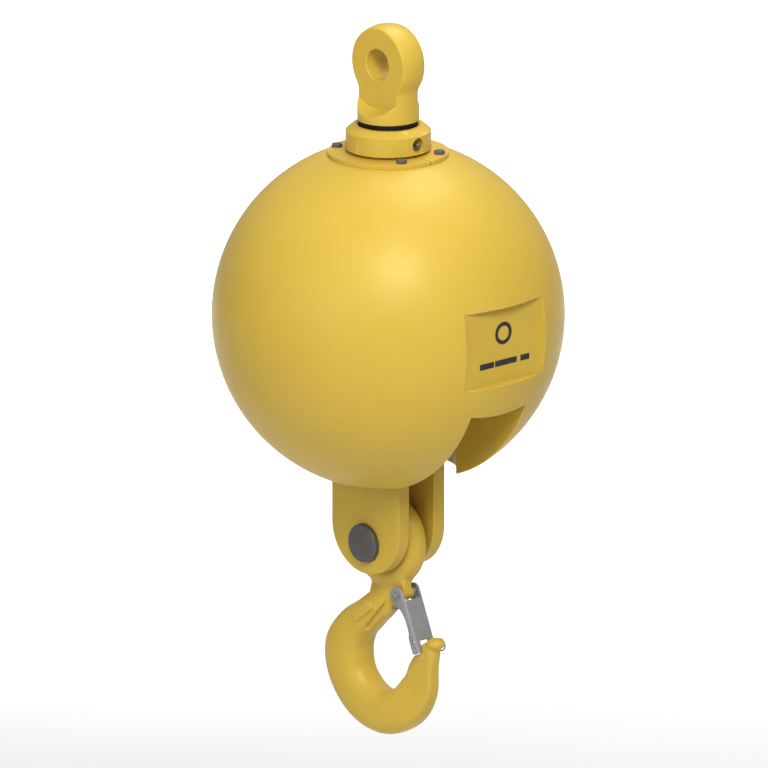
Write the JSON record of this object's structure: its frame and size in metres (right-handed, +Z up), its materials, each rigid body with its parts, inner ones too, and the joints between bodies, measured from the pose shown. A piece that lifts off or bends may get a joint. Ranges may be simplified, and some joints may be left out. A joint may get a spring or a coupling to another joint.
{
  "type": "crane overhaul ball",
  "caption": "Ball weight for a hoist line with a swivelling top eye on a thrust bearing and a clevis-hung eye hook with a lockable sprung latch.",
  "frame": {"origin": "centre of the top eye's bore", "axes": "+Z up towards the hoist line, +Y along the top eye's bore, the clevis pin and the latch pivot, +X towards the hook's opening"},
  "size_m": [0.395, 0.4, 0.8322],
  "materials": {
    "yellow_paint": "semi-gloss sprayed enamel over forged steel",
    "ball_paint": "semi-gloss sprayed enamel over a smooth casting",
    "plated_steel": "zinc plated sheet, satin",
    "bright_steel": "machined and ground",
    "dark_steel": "black oxide, oiled",
    "spring_steel": "drawn wire",
    "bronze": "turned bearing bronze",
    "black_rubber": "matt moulded nitrile"
  },
  "bodies": {
    "top_eye": {"swivel_eye": "yellow_paint", "shaft_seal": "black_rubber", "lower_thrust_washer": "bright_steel", "stem_nut": "bright_steel", "nut_lock_pin": "dark_steel"},
    "bearing_cage": {"roller_cage": "bronze", "thrust_rollers": "bright_steel"},
    "swivel_body": {"clevis_body": "yellow_paint", "bearing_cap": "yellow_paint", "stem_bush": "bronze", "upper_thrust_washer": "bright_steel", "cap_o_ring": "black_rubber", "cap_lock_screw": "dark_steel", "grease_nipple": "dark_steel", "ball_weight": "ball_paint", "retaining_ring_front": "yellow_paint", "retaining_ring_rear": "yellow_paint", "ring_bolts": "dark_steel", "clevis_pin": "dark_steel", "pin_keeper_plate": "dark_steel", "keeper_bolts": "dark_steel"},
    "hook": {"load_hook": "yellow_paint", "latch_pivot_pin": "plated_steel", "pivot_pin_clip": "plated_steel", "latch_spring": "spring_steel"},
    "latch": {"latch_plate": "plated_steel"},
    "lock_pin": {"lock_pin": "plated_steel"},
    "pull_ring": {"pull_ring": "spring_steel"}
  },
  "joints": [
    {"name": "swivel", "type": "hinge", "parent": "top_eye", "child": "swivel_body", "pos_m": [0, 0, -0.15], "axis": [0, 0, 1], "continuous": true},
    {"name": "cage_orbit", "type": "hinge", "parent": "top_eye", "child": "bearing_cage", "pos_m": [0, 0, -0.15], "axis": [0, 0, 1], "continuous": true},
    {"name": "hook_swing", "type": "hinge", "parent": "swivel_body", "child": "hook", "pos_m": [0, 0, -0.5553], "axis": [0, 1, 0], "range_deg": [-85, 85]},
    {"name": "latch_pivot", "type": "hinge", "parent": "hook", "child": "latch", "pos_m": [0.028, 0, -0.6163], "axis": [0, 1, 0], "range_deg": [0, 50], "stiffness_Nm_per_rad": 0.25, "springref_deg": -34.38, "deforming": ["latch_spring"]},
    {"name": "lock_pin_pull", "type": "slide", "parent": "latch", "child": "lock_pin", "axis": [0, 1, 0], "range_m": [0, 0.025]},
    {"name": "pull_ring_flap", "type": "hinge", "parent": "lock_pin", "child": "pull_ring", "pos_m": [0.05838, 0.02, -0.67575], "axis": [-0.342, 0, 0.9397], "range_deg": [-20, 150]}
  ],
  "couplings": [
    {"joint": "cage_orbit", "follows": "swivel", "ratio": 0.5}
  ]
}
